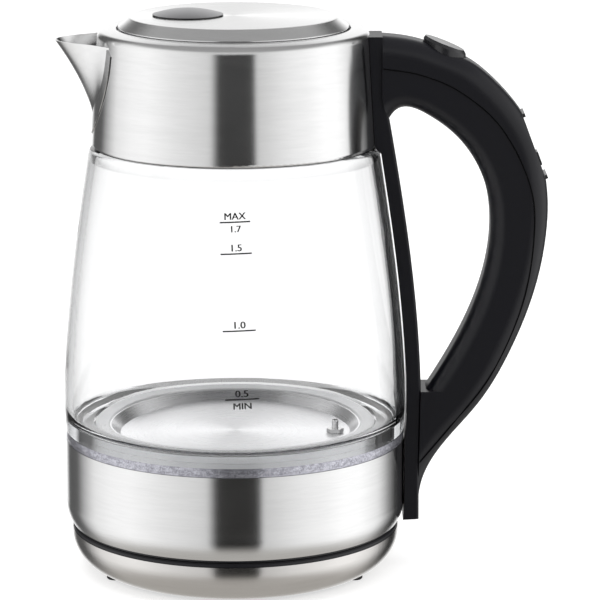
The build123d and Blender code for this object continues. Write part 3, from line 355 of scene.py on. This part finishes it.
def on_glass(u, v):
    """A point of the flat print, tilted as a whole and laid on the outside of the glass."""
    across = MARK_X + u * cos(MARK_TILT) - v * sin(MARK_TILT)
    z = MARK_Z + u * sin(MARK_TILT) + v * cos(MARK_TILT)
    turn = across / GLASS_R
    outward = Vector((sin(turn), -cos(turn), 0))
    hit, spot, _, _ = NODES["glass_jar"].ray_cast(outward * OUTSIDE + Vector((0, 0, z)), -outward)
    assert hit, f"no glass behind the print at {u}, {v}"
    return spot + outward * INK_STAND_OUT


def printed(name, mesh):
    """Lay a flat mesh round the glass as ink that rides on the jug."""
    for v in mesh.vertices:
        v.co = on_glass(v.co.x, v.co.y)
    made = bpy.data.objects.new(name, mesh)
    bpy.context.scene.collection.objects.link(made)
    mesh.materials.clear()
    mesh.materials.append(INK)
    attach(made, "jug")


def word(name, text, cap_height, u, v):
    """One printed word with its foot at v, centred on u, struck twice to thicken it."""
    curve = bpy.data.curves.new(name, "FONT")
    curve.body = text
    curve.align_x = "CENTER"
    curve.size = cap_height / CAP_SHARE
    curve.resolution_u = 4
    typed = bpy.data.objects.new(name + "_type", curve)
    bpy.context.scene.collection.objects.link(typed)
    bpy.context.view_layer.update()
    mesh = bpy.data.meshes.new_from_object(typed.evaluated_get(bpy.context.evaluated_depsgraph_get()))
    bpy.data.objects.remove(typed)
    for strike, shift in (("a", -INK_SPREAD), ("b", INK_SPREAD)):
        struck = mesh.copy()
        for corner in struck.vertices:
            corner.co = Vector((corner.co.x * WORD_WIDTH + u + shift, corner.co.y + v, 0))
        printed(f"{name}_{strike}", struck)
    bpy.data.meshes.remove(mesh)


def rule(name, u, v):
    """One printed line, divided along its length so that it follows the glass."""
    points = [
        (u + LINE_LENGTH * (i / LINE_STEPS - 0.5), v + side * LINE_STROKE / 2, 0)
        for i in range(LINE_STEPS + 1)
        for side in (-1, 1)
    ]
    faces = [(2 * i, 2 * i + 2, 2 * i + 3, 2 * i + 1) for i in range(LINE_STEPS)]
    mesh = bpy.data.meshes.new(name)
    mesh.from_pydata(points, [], faces)
    printed(name, mesh)


INK = printed_ink()
for level, height, above, below in LEVELS:
    v = (height - MARK_Z) / cos(MARK_TILT)
    rule(f"mark_{level}_line", 0, v)
    word(f"mark_{level}_above", above, CAP_ABOVE, 0, v + FOOT_ABOVE)
    if below:
        word(f"mark_{level}_below", below, CAP_BELOW, 0, v + FOOT_BELOW)


# ================================================================ shadowed joints

# (half width, height) of the spout's flange from its top corner down to its foot, and the collar's cone
FLANGE = ((0.0310, 0.2400), (0.0296, 0.2300), (0.0252, 0.2186), (0.0154, 0.2069), (0.0, 0.2010))
CONE_LOW, CONE_HIGH = (0.0640, 0.1976), (0.0612, 0.2450)
FLANGE_JOINT_R = 0.00022
# (x, height) of the seam between the handle's grip and its cover, from the strap's top down to its foot
HANDLE_SEAM = (
    (0.0668, 0.2318), (0.0836, 0.2290), (0.1016, 0.2212), (0.1198, 0.2052), (0.1328, 0.1796),
    (0.1352, 0.1560), (0.1304, 0.1240), (0.1167, 0.0914), (0.0986, 0.0674), (0.0846, 0.0505),
)
HANDLE_JOINT_R = 0.00028
SEAM_NUDGE = 0.0003  # the surface is felt for this far to either side of the seam
BESIDE = 0.05  # a distance from the middle plane that is clear of the handle
SPAN_STEPS, BEAD_SIDES = 8, 6


def catmull_rom(p, q, r, s, t):
    """The curve's value, t of the way from q to r."""
    return 0.5 * (2 * q + (r - p) * t + (2 * p - 5 * q + 4 * r - s) * t**2 + (3 * q - p - 3 * r + s) * t**3)


def smooth(points):
    """A rounded run of points through the given ones."""
    padded = [points[0], *points, points[-1]]
    run = []
    for span in zip(padded, padded[1:], padded[2:], padded[3:]):
        for step in range(SPAN_STEPS):
            run.append(tuple(catmull_rom(*values, step / SPAN_STEPS) for values in zip(*span)))
    return [*run, points[-1]]


def bead(name, path, outward, radius, finish):
    """A thin round bead along a path on the jug. outward gives the surface's direction at a point."""
    points, faces = [], []
    for i, spot in enumerate(path):
        ahead = (path[min(i + 1, len(path) - 1)] - path[max(i - 1, 0)]).normalized()
        away = outward(spot)
        aside = ahead.cross(away).normalized()
        for k in range(BEAD_SIDES):
            turn = 2 * pi * k / BEAD_SIDES
            points.append(spot + aside * (radius * cos(turn)) + away * (radius * sin(turn)))
    for i in range(len(path) - 1):
        for k in range(BEAD_SIDES):
            a, b = i * BEAD_SIDES + k, i * BEAD_SIDES + (k + 1) % BEAD_SIDES
            faces.append((a, b, b + BEAD_SIDES, a + BEAD_SIDES))
    mesh = bpy.data.meshes.new(name)
    mesh.from_pydata(points, [], faces)
    mesh.materials.append(finish)
    made = bpy.data.objects.new(name, mesh)
    bpy.context.scene.collection.objects.link(made)
    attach(made, "jug")


def on_collar(y, z):
    """The point of the collar's cone at this place on the spout's side."""
    share = (z - CONE_LOW[1]) / (CONE_HIGH[1] - CONE_LOW[1])
    r = CONE_LOW[0] + share * (CONE_HIGH[0] - CONE_LOW[0])
    return Vector((-sqrt(r * r - y * y), y, z))


def from_axis(spot):
    return Vector((spot.x, spot.y, 0)).normalized()


def spout_joint():
    """The narrow shadowed joint that runs round the foot of the spout, as a thin dark bead of filler that
    also paints the shade in the joint.
    """
    half = smooth(FLANGE)
    path = [on_collar(y, z) for y, z in half] + [on_collar(-y, z) for y, z in reversed(half[:-1])]
    # painted shade: this dark filler bead also stands for the shadow down in the joint round the spout
    filler_and_shade = moulded_plastic("joint_filler_and_shade", (0.03, 0.03, 0.032), 0.6)
    bead("spout_joint_line", path, from_axis, FLANGE_JOINT_R, filler_and_shade)


def on_handle(x, z, side):
    """The point of the handle's side at this place, on the cover or the grip, whichever stands out more."""
    found = []
    for name in ("handle_cover", "handle_grip"):
        for nudge in (-SEAM_NUDGE, 0, SEAM_NUDGE):
            start = Vector((x + nudge, side * BESIDE, z + nudge))
            hit, spot, _, _ = NODES[name].ray_cast(start, Vector((0, -side, 0)))
            if hit:
                found.append(spot.y * side)
    return Vector((x, side * max(found), z))


def handle_joints():
    """The seam between the handle's two mouldings, drawn on each side as a thin dark bead."""
    dark = moulded_plastic("joint_shadow", (0.0012, 0.0012, 0.0014), 0.8, shine=0.1)
    for label, side in (("front", -1), ("back", 1)):
        path = [on_handle(x, z, side) for x, z in smooth(HANDLE_SEAM)]
        bead(f"handle_joint_{label}", path, lambda spot: Vector((0, side, 0)), HANDLE_JOINT_R, dark)


spout_joint()
handle_joints()


# ================================================================ studio

# brightness of the studio's walls by bearing, in degrees from the middle of the camera's side
WALLS = (
    (-180, 1.1), (-165, 1.1), (-155, 0.1), (-134, 0.12), (-124, 0.5), (-110, 0.97), (-91, 1.14),
    (-75, 1.17), (-61, 1.07), (-48, 0.96), (-35, 0.88), (-18, 0.77), (-12, 0.0), (17.5, 0.0),
    (19.5, 0.74), (26, 0.77), (38, 0.92), (50, 1.04), (64, 1.13), (79, 1.28), (95, 1.28),
    (114, 1.0), (130, 0.3), (141, 0.03), (155, 0.05), (165, 1.1), (180, 1.1),
)
# each pair of heights is where a change begins and ends, as the sine of the angle from level
GAP_HALF, OVER_GAP, GAP_TOP = radians(24), 0.77, (0.17, 0.26)  # the dark gap in front has a wall over it
OVERHEAD, CEILING_EDGE = 0.36, (0.42, 0.8)
UNDERFOOT, FLOOR_EDGE = (0.5, 0.485, 0.46, 1.0), (0.4, 0.8)
FLOOR_GLOW, FLOOR_GLOW_REFLECTED, FLOOR_GLOW_SEEN = 0.44, 0.15, 0.18
FLOOR_REACH = 12.0


def studio():
    """Soft white walls with gaps between them and a dim ceiling, all plain white where looked at."""
    world = bpy.data.worlds.new("studio")
    world.use_nodes = True
    bpy.context.scene.world = world
    g = Graph(world.node_tree)
    look = g.node("ShaderNodeSeparateXYZ", Vector=g.node("ShaderNodeTexCoord").outputs["Generated"]).outputs
    bearing = g.math("ARCTAN2", look[0], g.math("MULTIPLY", look[1], -1.0))
    share = g.math("ADD", g.math("DIVIDE", bearing, 2 * pi), 0.5)
    ramp = g.node("ShaderNodeValToRGB", Fac=share)
    stops = ramp.color_ramp.elements
    while len(stops) < len(WALLS):
        stops.new(0.5)
    for stop, (degrees, tone) in zip(stops, WALLS):
        stop.position = degrees / 360 + 0.5
        stop.color = grey(tone)
    in_front = g.math("LESS_THAN", g.math("ABSOLUTE", bearing), GAP_HALF)
    over_gap = g.math("MULTIPLY", in_front, g.step(look[2], *GAP_TOP))
    walls = g.mix(over_gap, ramp.outputs["Color"], grey(OVER_GAP))
    up = g.mix(g.step(look[2], *CEILING_EDGE), walls, grey(OVERHEAD))
    all_round = g.mix(g.step(g.math("MULTIPLY", look[2], -1.0), *FLOOR_EDGE), up, UNDERFOOT)
    ray = g.node("ShaderNodeLightPath").outputs
    straight = g.math("LESS_THAN", ray["Glossy Depth"], 0.5)
    seen = g.math("MULTIPLY", g.math("MAXIMUM", ray["Is Camera Ray"], ray["Is Transmission Ray"]), straight)
    colour = g.mix(seen, all_round, grey(1.0))
    out = g.node("ShaderNodeOutputWorld")
    g.feed(out, "Surface", g.node("ShaderNodeBackground", Color=colour, Strength=1.0).outputs[0])


def white_floor():
    """A wide matt white floor that glows faintly, as a lit table of frosted sheet does."""
    made = bpy.data.materials.new("studio_floor")
    made.use_nodes = True
    g = Graph(made.node_tree)
    sheet = g.noise(g.place(), 3.0, 2.0)
    matt = g.node("ShaderNodeBsdfDiffuse", Color=g.mix(sheet, grey(0.56), grey(0.58)))
    ray = g.node("ShaderNodeLightPath").outputs
    reflected = g.math("GREATER_THAN", ray["Glossy Depth"], 0.5)
    looked_at = g.math("MULTIPLY", ray["Is Camera Ray"], FLOOR_GLOW_SEEN)
    strength = g.math("ADD", g.between(reflected, FLOOR_GLOW, FLOOR_GLOW_REFLECTED), looked_at)
    glow = g.node("ShaderNodeEmission", Color=grey(1.0), Strength=strength)
    both = g.node("ShaderNodeAddShader")
    g.feed(both, "i0", matt.outputs[0])
    g.feed(both, "i1", glow.outputs[0])
    g.feed(g.node("ShaderNodeOutputMaterial"), "Surface", both.outputs[0])
    mesh = bpy.data.meshes.new("studio_floor")
    corners = [(x * FLOOR_REACH, y * FLOOR_REACH, 0) for x, y in ((-1, -1), (1, -1), (1, 1), (-1, 1))]
    mesh.from_pydata(corners, [], [(0, 1, 2, 3)])
    mesh.materials.append(made)
    floor = bpy.data.objects.new("studio_floor", mesh)
    bpy.context.scene.collection.objects.link(floor)
    floor.visible_glossy = False


def overhead_light():
    """A wide soft light that looks straight down, and that only the matt surfaces see."""
    light = bpy.data.lights.new("overhead_light", "AREA")
    light.size = 3.2
    light.energy = 75.0
    made = bpy.data.objects.new("overhead_light", light)
    made.location = (0, 0, 2.6)
    bpy.context.scene.collection.objects.link(made)
    made.visible_glossy = False
    made.visible_camera = False
    made.visible_transmission = False


CAMERA_PLACE, CAMERA_DOWN = (0.02975, -1.50586, 0.45747), radians(12.493)
CAMERA_LENS, CAMERA_SENSOR = 203.2, 36.0


def camera():
    """A long lens a metre and a half away, above the lid's level and tilted down."""
    data = bpy.data.cameras.new("camera")
    data.sensor_width = CAMERA_SENSOR
    data.lens = CAMERA_LENS
    made = bpy.data.objects.new("camera", data)
    made.location = CAMERA_PLACE
    made.rotation_euler = (pi / 2 - CAMERA_DOWN, 0, 0)
    bpy.context.scene.collection.objects.link(made)
    bpy.context.scene.camera = made


studio()
white_floor()
overhead_light()
camera()
bpy.context.scene.view_settings.view_transform = "Standard"
